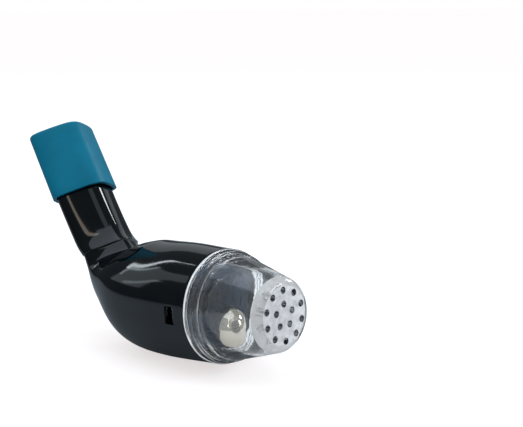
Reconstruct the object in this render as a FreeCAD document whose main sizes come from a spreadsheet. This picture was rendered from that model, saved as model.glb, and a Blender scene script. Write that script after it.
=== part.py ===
"""Positive expiratory pressure device: mouth stem, bowl, funnel seat, steel ball, clear cover and cap.

The row frame has its origin at the middle of the small flat that the bowl rests on. +X runs towards the clear
cover, +Z is up, and XZ is the plane of symmetry. Sizes are in millimetres and angles in degrees.
"""
import FreeCAD, Part
import math
import os
import Sketcher

SIZES = [
    # The head: bowl, funnel seat, ball and cover share one axis, which points slightly upwards at rest.
    ("rim_ahead", 32.2, "rim centre ahead of the resting flat"),
    ("rim_height", 26.1, "rim centre above the resting flat"),
    ("head_tilt", 4.0, "head axis above the horizontal"),
    ("rim_radius", 23.4, "outside of the bowl at its rim"),
    ("belly_radius", 24.35, "outside of the bowl at its widest"),
    ("belly_back", 22.0, "widest section behind the rim"),
    ("brow_share", 0.37, "share of the growth from rim to belly reached at the brow"),
    ("brow_back", 8.0, "brow behind the rim"),
    ("waist_radius", 24.2, "outside of the bowl where the heel begins"),
    ("waist_back", 35, "start of the heel behind the rim"),
    ("bowl_wall", 2.0, "wall of the bowl moulding"),
    ("rim_wall", 2.0, "wall of the bowl round its mouth"),
    # The heel turns the bowl into the neck that carries the stem.
    ("heel_back", 49.2, "lower heel section behind the rim centre"),
    ("heel_drop", 1.2, "lower heel section below the rim centre"),
    ("heel_width", 45.6, "lower heel section across Y"),
    ("heel_flatten", 1.0, "lower heel section, width less depth"),
    ("heel_turn", 102, "lower heel section's normal from vertical"),
    ("throat_back", 59.7, "upper heel section behind the rim centre"),
    ("throat_rise", 3.2, "upper heel section above the rim centre"),
    ("throat_width", 38.0, "upper heel section across Y"),
    ("throat_flatten", 5.5, "upper heel section, width less depth"),
    ("throat_turn", 118, "upper heel section's normal from vertical"),
    ("neck_length", 5.0, "straight part of the neck below the seam"),
    ("neck_swell", 1.2, "growth of the neck along its straight part"),
    # The stem is a straight oval tube that flares on its inner side where it is welded to the neck.
    ("seam_back", 76.0, "stem axis at the seam, behind the rim centre"),
    ("seam_rise", 11.4, "stem axis at the seam, above the rim centre"),
    ("stem_lean", 32.8, "stem axis from the vertical, towards the back"),
    ("stem_length", 58.3, "seam to mouth end"),
    ("ridge_power", 1.36, "power of the stem's and cap's ovals; 2 is an ellipse, less gives a ridge"),
    ("mouth_width", 30.8, "outside of the stem across Y at the mouth end"),
    ("mouth_depth", 20.4, "outside of the stem in the symmetry plane at the mouth end"),
    ("stem_foot_width", 30.0, "outside of the stem across Y above the flare"),
    ("stem_foot_depth", 19.2, "outside of the stem in the symmetry plane above the flare"),
    ("flare_height", 9.0, "start of the flare above the seam"),
    ("flare_depth", 22.6, "outside of the flared foot in the symmetry plane"),
    ("flare_shift", 2.2, "flared foot's middle towards the inner side of the elbow"),
    ("flare_width", 30.2, "outside of the flared foot across Y"),
    ("flare_share", 0.25, "share of the flare that is left halfway up"),
    ("stem_wall", 1.7, "wall of the stem moulding"),
    ("seam_step", 0.35, "neck inside the stem's foot all round, the line of the weld"),
    ("spigot_length", 3.5, "tongue of the stem inside the neck"),
    ("spigot_root", 0.9, "top of the tongue above the seam, inside the stem's foot"),
    ("spigot_wall", 0.9, "wall of the spigot"),
    ("weld_gap", 0.05, "radial gap round the spigot"),
    # The cap pushes over the mouth end.
    ("cap_overlap", 29.3, "mouth end covered by the cap"),
    ("cap_roof_gap", 1.0, "mouth end to the inside of the cap's roof"),
    ("cap_wall", 1.5, "wall and roof of the cap"),
    ("cap_gap", 0.1, "gap round the stem inside the cap"),
    ("cap_taper", 0.6, "lip wider than the closed end"),
    ("cap_round", 1.6, "rounding of the closed end"),
    # The mouth of the bowl takes the funnel seat and the cover.
    ("mouth_bore_length", 5.0, "rim to the ledge that carries the funnel's flange"),
    ("ledge_thickness", 2.0, "ledge along the axis"),
    ("ledge_step", 1.8, "ledge inwards from the bore"),
    ("running_gap", 0.15, "radial gap of what slides in the bore"),
    ("window_front", 5.7, "front edge of a latch window behind the rim"),
    ("window_length", 4.8, "latch window along the axis"),
    ("window_height", 7.3, "latch window across the axis"),
    ("channel_reach", 1.2, "hook channel past the front edge of its window"),
    # The funnel seat.
    ("flange_thickness", 1.5, "flange of the funnel"),
    ("funnel_margin", 1.5, "ledge's opening to the inside of the funnel at the flange's front face"),
    ("funnel_throat_radius", 6.5, "inside of the funnel's outlet"),
    ("funnel_half_angle", 30.0, "funnel wall from the axis"),
    ("funnel_wall", 1.3, "wall of the funnel along its radius"),
    ("outlet_length", 2.5, "straight outlet behind the funnel"),
    # The ball.
    ("ball_radius", 9.5, "steel ball"),
    ("ball_gap", 0.1, "ball to the funnel wall"),
    ("ball_rest", 0.49, "funnel's edge to where the ball touches its lower wall at rest"),
    # The clear cover.
    ("collar_length", 1.6, "collar that meets the rim"),
    ("step_one_inset", 0.8, "first ring within the collar"),
    ("step_one_length", 2.4, "first ring along the axis"),
    ("step_two_inset", 0.7, "second ring within the first"),
    ("step_two_length", 2.4, "second ring along the axis"),
    ("dome_base_inset", 0.6, "foot of the dome's cone within the second ring"),
    ("dome_narrowing", 7.1, "radius lost from the cone's foot to the perforated end"),
    ("dome_height", 32.5, "rim to the perforated end's face"),
    ("dome_wall", 1.9, "wall of the dome"),
    ("end_thickness", 4.5, "perforated end"),
    ("dome_round", 4.0, "rounding of the dome's shoulder"),
    ("skirt_wall", 1.15, "spigot ring of the cover inside the bore"),
    ("clamp_gap", 0.1, "spigot ring to the funnel's flange"),
    ("outer_holes", 10.0, "vents in the outer ring"),
    ("vent_margin", 4.2, "dome's end edge to the outer ring of vents"),
    ("inner_holes", 5.0, "vents in the inner ring"),
    ("inner_ring_radius", 4.6, "inner ring of vents"),
    ("vent_radius", 1.4, "vent"),
    ("tongue_width", 6.4, "latch tongue across the axis"),
    ("tongue_length", 9.0, "latch tongue behind the rim"),
    ("hook_height", 1.0, "hook beyond the tongue's outside"),
    ("hook_length", 1.3, "hook along the axis"),
    ("hook_toe", 0.4, "hook beyond the tongue at its rear end"),
    ("latch_gap", 0.15, "clearance round a tongue and its hook"),
    ("cut_margin", 1.0, "reach of a cut past the faces that it opens"),
]

doc = FreeCAD.newDocument("PositiveExpiratoryPressureDevice")
sizes = doc.addObject("Spreadsheet::Sheet", "Sizes")
for row, (alias, number, meaning) in enumerate(SIZES, start=1):
    sizes.set(f"A{row}", alias)
    sizes.set(f"B{row}", str(number))
    sizes.set(f"C{row}", meaning)
    sizes.setAlias(f"B{row}", alias)
doc.recompute()


def cells(formula):
    """Write each size named in a formula as a reference to its cell."""
    words = []
    word = ""
    for letter in formula + " ":
        if letter.isalnum() or letter == "_":
            word += letter
            continue
        words.append("Sizes." + word if word in NAMES else word)
        words.append(letter)
        word = ""
    return "".join(words).strip()


def sizes_value(formula):
    """The number that a formula of named sizes gives."""
    return float(sizes.evalExpression(cells(formula)))


def place(target, x, z, roll):
    """Stand a flat section at (x, 0, z), long axis along Y, normal turned by roll from +Z towards +X."""
    target.setExpression(
        "Placement",
        f"create(<<placement>>; create(<<vector>>; {cells(x)}; 0; {cells(z)});"
        f" create(<<rotation>>; 90; 0; {cells(roll)}))",
    )


def section(name, x, z, roll, width, depth):
    """One oval section of a loft, its width across Y and its depth in the symmetry plane."""
    oval = doc.addObject("Part::Ellipse", name)
    oval.MajorRadius = LARGE
    oval.MinorRadius = SMALL
    oval.setExpression("MajorRadius", cells(f"({width}) / 2"))
    oval.setExpression("MinorRadius", cells(f"({depth}) / 2"))
    place(oval, x, z, roll)
    return oval


def ridged_section(name, x, z, roll, width, depth):
    """An oval section with a soft ridge down its front and back: under a power of 2 its flanks flatten."""
    half_width = sizes_value(width) / 2
    half_depth = sizes_value(depth) / 2
    exponent = 2 / sizes_value("ridge_power")
    points = []
    for index in range(OVAL_POINTS):
        angle = 2 * math.pi * index / OVAL_POINTS
        across = math.copysign(abs(math.cos(angle)) ** exponent, math.cos(angle))
        deep = math.copysign(abs(math.sin(angle)) ** exponent, math.sin(angle))
        points.append(FreeCAD.Vector(half_width * across, half_depth * deep, 0))
    curve = Part.BSplineCurve()
    curve.interpolate(Points=points, PeriodicFlag=True)
    oval = doc.addObject("Part::Feature", name)
    oval.Shape = Part.Wire([curve.toShape()])
    place(oval, x, z, roll)
    return oval


def loft(name, sections, ruled=False):
    """A solid through sections."""
    solid = doc.addObject("Part::Loft", name)
    solid.Sections = sections
    solid.Solid = True
    solid.Ruled = ruled
    return solid


def cut(name, base, tool):
    """Base without tool."""
    result = doc.addObject("Part::Cut", name)
    result.Base = base
    result.Tool = tool
    return result


def fuse(name, shapes):
    """Several shapes as one."""
    result = doc.addObject("Part::MultiFuse", name)
    result.Shapes = shapes
    return result


def bind(target, **formulas):
    """Bind properties of an object to the sheet."""
    for prop, formula in formulas.items():
        target.setExpression(prop.replace("__", "."), cells(formula))


NAMES = {alias for alias, number, meaning in SIZES}
# First radii of an oval before its own sizes reach it, and the points of a ridged oval.
LARGE = 100
SMALL = 1
OVAL_POINTS = 20

# A place on the head axis, a distance behind the rim.
AXIS_X = "(rim_ahead - ({0}) * cos(head_tilt * 1deg))"
AXIS_Z = "(rim_height - ({0}) * sin(head_tilt * 1deg))"
HEAD_TURN = "90 - head_tilt"
# A place on the stem axis, a height above the seam and a shift towards the inner side of the elbow.
STEM_X = "(rim_ahead - seam_back - ({0}) * sin(stem_lean * 1deg) + ({1}) * cos(stem_lean * 1deg))"
STEM_Z = "(rim_height + seam_rise + ({0}) * cos(stem_lean * 1deg) + ({1}) * sin(stem_lean * 1deg))"
# Radii that follow one another inwards from the rim: the mouth first, then the cover.
BORE = "(rim_radius - rim_wall)"
LEDGE = f"({BORE} - ledge_step)"
FUNNEL_MOUTH = f"({LEDGE} - funnel_margin)"
STEP_ONE = "(rim_radius - step_one_inset)"
STEP_TWO = f"({STEP_ONE} - step_two_inset)"
DOME_BASE = f"({STEP_TWO} - dome_base_inset)"
DOME_END = f"({DOME_BASE} - dome_narrowing)"
WELL_OUTSIDE = "(belly_radius + cut_margin)"


def head_section(name, behind, radius):
    """A round section on the head axis."""
    return section(
        name, AXIS_X.format(behind), AXIS_Z.format(behind), HEAD_TURN, f"2 * ({radius})", f"2 * ({radius})"
    )


def stem_section(name, height, width, depth, shift="0", turn="-stem_lean"):
    """A ridged section on the stem axis."""
    x = STEM_X.format(height, shift)
    z = STEM_Z.format(height, shift)
    return ridged_section(name, x, z, turn, width, depth)


def bowl_skin(name, inset, front):
    """The bowl from the neck to its front sections on the head axis, inset all round from its outside."""

    def neck(label, height, swell):
        grow = f"{swell} - 2 * (seam_step + {inset})"
        width = f"flare_width + {grow}"
        depth = f"flare_depth + {grow}"
        return stem_section(name + label, height, width, depth, "flare_shift", "180 - stem_lean")

    return loft(name, [
        neck("_neck", "0", "0"),
        neck("_neck_end", "-neck_length", "neck_swell"),
        section(
            name + "_upper_heel", "rim_ahead - throat_back", "rim_height + throat_rise", "throat_turn",
            f"throat_width - 2 * {inset}", f"throat_width - throat_flatten - 2 * {inset}",
        ),
        section(
            name + "_lower_heel", "rim_ahead - heel_back", "rim_height - heel_drop", "heel_turn",
            f"heel_width - 2 * {inset}", f"heel_width - heel_flatten - 2 * {inset}",
        ),
        head_section(name + "_waist", "waist_back", f"waist_radius - {inset}"),
        head_section(name + "_belly", "belly_back", f"belly_radius - {inset}"),
    ] + [head_section(f"{name}_front_{behind}", behind, radius) for behind, radius in front])


def head_placement(target, behind="0", turn="90 - head_tilt"):
    """Put a primitive made along +Z on the head axis, pointing at the rim."""
    target.setExpression(
        "Placement",
        f"create(<<placement>>; create(<<vector>>; {cells(AXIS_X.format(behind))}; 0;"
        f" {cells(AXIS_Z.format(behind))}); create(<<rotation>>; 0; {cells(turn)}; 0))",
    )


def bowl():
    """The egg-shaped housing with its mouth bore, ledge, two latch windows and resting flat."""
    brow = "rim_radius + brow_share * (belly_radius - rim_radius)"
    outside = bowl_skin("BowlOutside", "0", [("brow_back", brow), ("0", "rim_radius")])
    inside = bowl_skin("BowlInside", "bowl_wall", [("mouth_bore_length + ledge_thickness", BORE)])

    ledge_hole = doc.addObject("Part::Cylinder", "LedgeHole")
    bind(ledge_hole, Radius=LEDGE, Height="ledge_thickness + 2 * cut_margin")
    head_placement(ledge_hole, "mouth_bore_length + ledge_thickness + cut_margin")
    bore = doc.addObject("Part::Cylinder", "MouthBore")
    bind(bore, Radius=BORE, Height="mouth_bore_length + cut_margin")
    head_placement(bore, "mouth_bore_length")

    # Each window opens through the wall, and a channel lets the hook reach it from the rim.
    window = doc.addObject("Part::Box", "Windows")
    bind(window, Length="window_length", Width=f"2 * {WELL_OUTSIDE}", Height="window_height")
    window_place = head_box("window_front + window_length", WELL_OUTSIDE, "window_height / 2")
    window.setExpression("Placement", window_place)
    channel = doc.addObject("Part::Box", "HookChannels")
    channel_half = f"{BORE} - running_gap + hook_height + latch_gap"
    bind(
        channel, Length="window_front + channel_reach + cut_margin", Width=f"2 * ({channel_half})",
        Height="tongue_width + 2 * latch_gap",
    )
    channel.setExpression(
        "Placement", head_box("window_front + channel_reach", channel_half, "tongue_width / 2 + latch_gap")
    )
    table = doc.addObject("Part::Box", "Table")
    bind(table, Length="throat_back + 2 * cut_margin", Width=f"2 * {WELL_OUTSIDE}", Height=WELL_OUTSIDE)
    table.setExpression("Placement.Base", cells(
        f"create(<<vector>>; rim_ahead - throat_back - cut_margin; -{WELL_OUTSIDE}; -{WELL_OUTSIDE})"
    ))
    return cut("Bowl", outside, fuse("BowlHollow", [inside, ledge_hole, bore, window, channel, table]))


def head_box(behind, half_width, half_height):
    """Placement formula of a box whose rear lower corner is given on the head axis."""
    x = f"({AXIS_X.format(behind)} + ({half_height}) * sin(head_tilt * 1deg))"
    z = f"({AXIS_Z.format(behind)} - ({half_height}) * cos(head_tilt * 1deg))"
    return (
        f"create(<<placement>>; create(<<vector>>; {cells(x)}; -({cells(half_width)}); {cells(z)});"
        f" create(<<rotation>>; 0; -{cells('head_tilt')}; 0))"
    )


def stem():
    """The mouth tube: an oval bore in an oval wall, flared at its foot, with a spigot for the weld."""

    def foot(name, inset, height):
        width = f"flare_width - 2 * {inset}"
        depth = f"flare_depth - 2 * {inset}"
        return stem_section(name, height, width, depth, "flare_shift")

    def shaft(name, inset):
        return [
            stem_section(
                name + "_above_flare", "flare_height", f"stem_foot_width - 2 * {inset}",
                f"stem_foot_depth - 2 * {inset}",
            ),
            stem_section(
                name + "_mouth", "stem_length", f"mouth_width - 2 * {inset}", f"mouth_depth - 2 * {inset}"
            ),
        ]

    half_flare = stem_section(
        "HalfFlare", "flare_height / 2", "(flare_width + stem_foot_width) / 2",
        "stem_foot_depth + flare_share * (flare_depth - stem_foot_depth)", "flare_share * flare_shift",
    )
    tube = shaft("Tube", "0")
    flare = loft("Flare", [foot("FlareFoot", "0", "0"), half_flare, tube[0]])
    outer_inset = "(seam_step + bowl_wall + weld_gap)"
    inner_inset = "(seam_step + bowl_wall + weld_gap + spigot_wall)"
    spigot = loft("Spigot", [
        foot("SpigotEnd", outer_inset, "-spigot_length"), foot("SpigotRoot", outer_inset, "spigot_root")
    ], True)
    bore = loft("StemBore", [
        foot("StemBoreEnd", inner_inset, "-spigot_length"), foot("StemBoreFoot", inner_inset, "0")
    ] + shaft("StemBore", "stem_wall"), True)
    return cut("Stem", fuse("StemSolid", [loft("StemTube", tube, True), flare, spigot]), bore)


def cap():
    """The push-on cap: a tapered oval cup, its closed end rounded."""

    def oval(name, height, inset, taper):
        grow = f"2 * (cap_gap + {inset}) + {taper}"
        return stem_section(name, height, f"mouth_width + {grow}", f"mouth_depth + {grow}")

    lip = "stem_length - cap_overlap"
    roof = "stem_length + cap_roof_gap"
    shoulder = f"{roof} + cap_wall - cap_round"
    cup_end = oval("CapShoulder", shoulder, "cap_wall", "0")
    cup = loft("CapCup", [oval("CapLip", lip, "cap_wall", "cap_taper"), cup_end], True)
    crown = [cup_end]
    for degrees in (30, 60, 90):
        rise = f"{shoulder} + cap_round * sin({degrees} * 1deg)"
        inset = f"cap_wall - cap_round * (1 - cos({degrees} * 1deg))"
        crown.append(oval(f"CapCrown_{degrees}", rise, inset, "0"))
    outside = fuse("CapOutside", [cup, loft("CapCrown", crown)])
    inside = loft("CapInside", [
        oval("CapInsideLip", f"{lip} - cap_gap", "0", "cap_taper"),
        oval("CapInsideEnd", roof, "0", "0"),
    ], True)
    return cut("Cap", outside, inside)


def new_body(name):
    """A body on the head axis: its own X axis is the axis, with 0 at the rim."""
    body = doc.addObject("PartDesign::Body", name)
    body.setExpression(
        "Placement",
        cells("create(<<placement>>; create(<<vector>>; rim_ahead; 0; rim_height);"
              " create(<<rotation>>; 0; -head_tilt; 0))"),
    )
    return body


def plane(body, role):
    """One of a body's own origin planes or axes."""
    return next(part for part in body.Origin.OriginFeatures if part.Role == role)


def outline(body, name, role, corners):
    """A closed sketch of straight lines on an origin plane, each corner bound to the sheet."""
    sketch = body.newObject("Sketcher::SketchObject", name)
    sketch.AttachmentSupport = [(plane(body, role), "")]
    sketch.MapMode = "FlatFace"
    values = [tuple(sizes_value(formula) for formula in corner) for corner in corners]
    vectors = [FreeCAD.Vector(x, y, 0) for x, y in values]
    count = len(vectors)
    for index in range(count):
        sketch.addGeometry(Part.LineSegment(vectors[index], vectors[(index + 1) % count]), False)
    for index in range(count):
        sketch.addConstraint(Sketcher.Constraint("Coincident", index, 2, (index + 1) % count, 1))
    for index, corner in enumerate(corners):
        for kind, number, formula in zip(("DistanceX", "DistanceY"), values[index], corner):
            if formula == "0":
                other = -2 if kind == "DistanceX" else -1
                sketch.addConstraint(Sketcher.Constraint("PointOnObject", index, 1, other))
                continue
            at = sketch.addConstraint(Sketcher.Constraint(kind, -1, 1, index, 1, number))
            sketch.setExpression(f"Constraints[{at}]", cells(formula))
    return sketch


def ring(body, name, sketch):
    """Turn a profile once round the head axis."""
    turned = body.newObject("PartDesign::Revolution", name)
    turned.Profile = sketch
    turned.ReferenceAxis = (sketch, ["H_Axis"])
    turned.Angle = 360
    doc.recompute()
    return turned


# Radial growth of the funnel along the axis, the ball's place on the axis when it closes the funnel, and its
# centre below the axis where it lies at rest.
FUNNEL_RUN = "tan(funnel_half_angle * 1deg)"
THROAT = f"(mouth_bore_length - flange_thickness + ({FUNNEL_MOUTH} - funnel_throat_radius) / {FUNNEL_RUN})"
SEAT = (
    "(mouth_bore_length - flange_thickness"
    f" + ({FUNNEL_MOUTH} - (ball_radius + ball_gap) / cos(funnel_half_angle * 1deg)) / {FUNNEL_RUN})"
)
BALL_DROP = f"({FUNNEL_MOUTH} - ball_rest - (ball_radius + ball_gap) * cos(funnel_half_angle * 1deg))"


def cone_seat():
    """The funnel that the ball closes, with the flange that lies on the ledge."""
    body = new_body("ConeSeat")
    front = "-(mouth_bore_length - flange_thickness)"
    back = "-mouth_bore_length"
    throat = f"-{THROAT}"
    wall_at_back = f"({FUNNEL_MOUTH} + funnel_wall - flange_thickness * {FUNNEL_RUN})"
    flange_edge = f"{BORE} - running_gap"
    profile = outline(body, "FunnelProfile", "XZ_Plane", [
        (front, FUNNEL_MOUTH),
        (front, flange_edge),
        (back, flange_edge),
        (back, wall_at_back),
        (throat, "funnel_throat_radius + funnel_wall"),
        (f"{throat} - outlet_length", "funnel_throat_radius + funnel_wall"),
        (f"{throat} - outlet_length", "funnel_throat_radius"),
        (throat, "funnel_throat_radius"),
    ])
    ring(body, "Funnel", profile)

    # Two notches in the flange let the cover's latch tongues past.
    notch_inner = f"{flange_edge} - skirt_wall - latch_gap"
    sketch = outline(body, "NotchProfile", "XY_Plane", [
        (f"{back} - cut_margin", notch_inner),
        (f"{front} + cut_margin", notch_inner),
        (f"{front} + cut_margin", BORE),
        (f"{back} - cut_margin", BORE),
    ])
    notch = body.newObject("PartDesign::Pocket", "Notch")
    notch.Profile = sketch
    notch.Midplane = True
    notch.setExpression("Length", cells("tongue_width + 2 * latch_gap"))
    other = body.newObject("PartDesign::Mirrored", "OtherNotch")
    other.Originals = [notch]
    other.MirrorPlane = (plane(body, "XZ_Plane"), [""])
    body.Tip = other
    return body


def ball():
    """The steel ball, lying on the funnel's lower wall."""
    body = doc.addObject("Part::Sphere", "Ball")
    bind(body, Radius="ball_radius")
    along = f"({SEAT} - {BALL_DROP} / {FUNNEL_RUN})"
    x = f"({AXIS_X.format(along)} + {BALL_DROP} * sin(head_tilt * 1deg))"
    z = f"({AXIS_Z.format(along)} - {BALL_DROP} * cos(head_tilt * 1deg))"
    body.setExpression("Placement.Base", f"create(<<vector>>; {cells(x)}; 0; {cells(z)})")
    return body


def vents(body, name, ring_radius, count):
    """A ring of round vents through the cover's end."""
    sketch = body.newObject("Sketcher::SketchObject", name + "Sketch")
    sketch.AttachmentSupport = [(plane(body, "YZ_Plane"), "")]
    sketch.MapMode = "FlatFace"
    middle = FreeCAD.Vector(0, sizes_value(ring_radius), 0)
    size = sizes.get("vent_radius")
    sketch.addGeometry(Part.Circle(middle, FreeCAD.Vector(0, 0, 1), size), False)
    sketch.addConstraint(Sketcher.Constraint("PointOnObject", 0, 3, -2))
    height = sketch.addConstraint(Sketcher.Constraint("DistanceY", -1, 1, 0, 3, middle.y))
    sketch.setExpression(f"Constraints[{height}]", cells(ring_radius))
    radius = sketch.addConstraint(Sketcher.Constraint("Radius", 0, size))
    sketch.setExpression(f"Constraints[{radius}]", cells("vent_radius"))
    vent = body.newObject("PartDesign::Pocket", name)
    vent.Profile = sketch
    vent.Reversed = True
    vent.setExpression("Length", cells("dome_height + cut_margin"))
    doc.recompute()
    pattern = body.newObject("PartDesign::PolarPattern", name + "Ring")
    pattern.Originals = [vent]
    pattern.Axis = (plane(body, "X_Axis"), [""])
    pattern.Angle = 360
    pattern.Occurrences = int(sizes.get(count))
    pattern.setExpression("Occurrences", cells(count))
    body.Tip = pattern
    doc.recompute()
    return pattern


def dome_cover():
    """The clear cover: stepped collar, tapering dome, perforated end and two latch tongues."""
    body = new_body("DomeCover")
    step_one = "collar_length"
    step_two = "(collar_length + step_one_length)"
    dome_foot = "(collar_length + step_one_length + step_two_length)"
    bore = f"({BORE} - running_gap)"
    skirt = f"({bore} - skirt_wall)"
    skirt_back = "-(mouth_bore_length - flange_thickness - clamp_gap)"
    slope = f"(dome_narrowing / (dome_height - {dome_foot}))"
    end_inside = "(dome_height - end_thickness)"
    profile = outline(body, "DomeProfile", "XZ_Plane", [
        (skirt_back, skirt),
        (skirt_back, bore),
        ("0", bore),
        ("0", "rim_radius"),
        (step_one, "rim_radius"),
        (step_one, STEP_ONE),
        (step_two, STEP_ONE),
        (step_two, STEP_TWO),
        (dome_foot, STEP_TWO),
        (dome_foot, DOME_BASE),
        ("dome_height", DOME_END),
        ("dome_height", "0"),
        (end_inside, "0"),
        (end_inside, f"{DOME_END} - dome_wall + end_thickness * {slope}"),
        (dome_foot, f"{DOME_BASE} - dome_wall"),
        ("0", skirt),
    ])
    dome = ring(body, "Dome", profile)

    outer_edge = min(
        range(len(dome.Shape.Edges)),
        key=lambda i: edge_distance(dome.Shape.Edges[i], "dome_height", DOME_END),
    )
    shoulder = body.newObject("PartDesign::Fillet", "Shoulder")
    shoulder.Base = (dome, [f"Edge{outer_edge + 1}"])
    shoulder.setExpression("Radius", cells("dome_round"))
    doc.recompute()

    hook_front = "-(window_front + latch_gap)"
    sketch = outline(body, "TongueProfile", "XY_Plane", [
        (f"{skirt_back} / 2", skirt),
        ("-tongue_length", skirt),
        ("-tongue_length", bore),
        (f"{hook_front} - hook_length", bore),
        (f"{hook_front} - hook_length", f"{bore} + hook_toe"),
        (f"{hook_front} - hook_length / 2", f"{bore} + hook_height"),
        (hook_front, f"{bore} + hook_height"),
        (hook_front, bore),
        (f"{skirt_back} / 2", bore),
    ])
    tongue = body.newObject("PartDesign::Pad", "Tongue")
    tongue.Profile = sketch
    tongue.Midplane = True
    tongue.setExpression("Length", cells("tongue_width"))
    doc.recompute()
    other = body.newObject("PartDesign::Mirrored", "OtherTongue")
    other.Originals = [tongue]
    other.MirrorPlane = (plane(body, "XZ_Plane"), [""])
    body.Tip = other
    doc.recompute()
    vents(body, "OuterVent", f"{DOME_END} - vent_margin", "outer_holes")
    vents(body, "InnerVent", "inner_ring_radius", "inner_holes")
    return body


def edge_distance(edge, along, radius):
    """How far an edge's middle circle is from a wanted place and radius on a turned solid."""
    if not hasattr(edge.Curve, "Radius"):
        return math.inf
    return abs(edge.Curve.Center.x - sizes_value(along)) + abs(edge.Curve.Radius - sizes_value(radius))


pieces = {
    "bowl": bowl(),
    "stem": stem(),
    "mouthpiece_cap": cap(),
    "cone_seat": cone_seat(),
    "ball": ball(),
    "dome_cover": dome_cover(),
}
for label, piece in pieces.items():
    piece.Label = label
doc.recompute()

for thing in doc.Objects:
    if "Invalid" in thing.State or "Error" in thing.State:
        raise RuntimeError(f"{thing.Label} failed: {thing.State}")
for label, piece in pieces.items():
    shape = piece.Shape
    if shape.isNull() or not shape.isValid() or len(shape.Solids) != 1:
        count = len(shape.Solids)
        raise RuntimeError(f"{label} is not one sound solid: {count} solids, valid {shape.isValid()}")

os.makedirs("parts", exist_ok=True)
for label, piece in pieces.items():
    piece.Shape.exportStep(f"parts/{label}.step")
    box = piece.Shape.BoundBox
    print(f"{label}: {piece.Shape.Volume:.0f} mm3, x {box.XMin:.1f} {box.XMax:.1f},"
          f" y {box.YMin:.1f} {box.YMax:.1f}, z {box.ZMin:.1f} {box.ZMax:.1f}")
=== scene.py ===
"""Dressed model of a positive expiratory pressure device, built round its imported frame.

The row frame is in metres: +X runs towards the clear cover, +Z is up, and XZ is the plane of symmetry.
Sizes in the classes are in millimetres and angles in degrees, as on the drawing of the device.
"""
import logging
import math
from dataclasses import astuple, dataclass
from enum import Enum

import bmesh
import bpy
from bpy.types import Material, Node, NodeSocket, NodeTree, Object
from mathutils import Matrix, Vector


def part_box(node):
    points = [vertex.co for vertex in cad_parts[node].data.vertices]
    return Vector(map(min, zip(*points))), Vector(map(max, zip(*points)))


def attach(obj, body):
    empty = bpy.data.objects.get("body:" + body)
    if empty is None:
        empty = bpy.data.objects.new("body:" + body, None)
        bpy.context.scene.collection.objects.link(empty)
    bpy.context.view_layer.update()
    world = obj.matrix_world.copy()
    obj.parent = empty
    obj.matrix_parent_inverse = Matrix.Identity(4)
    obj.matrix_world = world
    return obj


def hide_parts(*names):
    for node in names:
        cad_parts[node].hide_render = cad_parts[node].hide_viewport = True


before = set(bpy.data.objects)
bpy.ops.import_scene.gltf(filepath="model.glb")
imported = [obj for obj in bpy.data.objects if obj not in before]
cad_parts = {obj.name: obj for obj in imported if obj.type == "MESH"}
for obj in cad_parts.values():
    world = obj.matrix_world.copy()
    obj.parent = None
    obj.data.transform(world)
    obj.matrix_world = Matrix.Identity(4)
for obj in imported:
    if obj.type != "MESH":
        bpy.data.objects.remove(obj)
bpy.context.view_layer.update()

LOG = logging.getLogger("device")
MM = 0.001
# Points nearer to each other than this, in metres, become one.
WELD = 1e-6
# Rings whose normals differ by less than this, in radians, need no turning.
PARALLEL = 1e-6
OVAL_SIDES = 96
ROUND_SIDES = 128
# Rounds of smoothing that turn a lozenge into a ridged oval.
RIDGE_SMOOTHING = 50
# Faces that meet at less than this many degrees look smooth.
SMOOTH_ANGLE = 35.0


class Carrier(Enum):
    """The moving bodies of the device."""

    HOUSING = "body"
    CAP = "cap"
    SEAT = "seat"
    COVER = "cover"
    BALL = "ball"


class Slot(Enum):
    """The material slots of the record."""

    BLACK = "black_abs"
    CAP = "teal_cap"
    SEAT = "seat_plastic"
    STEEL = "ball_steel"
    CLEAR = "clear_plastic"


class CoverFace(Enum):
    """The faces of the cover that have a finish of their own, by their place in its list of materials."""

    VENT = 1
    FROSTED = 2
    HAZY = 3


class Boolean(Enum):
    """What happens to the other piece when two are combined."""

    CUT_AWAY = "DIFFERENCE"
    JOIN_ON = "UNION"


# Modelling by hand


def axes_at(place: Vector, along: Vector, across: Vector, up: Vector) -> Matrix:
    """A frame at a place, from the directions of its three axes."""
    return Matrix.Translation(place) @ Matrix((along, across, up)).transposed().to_4x4()


@dataclass(frozen=True)
class Section:
    """One ring of a moulding.

    Attributes:
        x: Middle of the ring ahead of the origin.
        z: Middle of the ring above the floor.
        turn: Normal of the ring, from +Z towards +X.
        width: Outside across Y.
        depth: Outside in the plane of symmetry.
        ridge: 1 for a ridged oval, 0 for a plain ellipse.
    """

    x: float
    z: float
    turn: float
    width: float
    depth: float
    ridge: float = 0.0

    def centre(self) -> Vector:
        """Middle of the ring in metres."""
        return Vector((self.x, 0.0, self.z)) * MM


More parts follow.
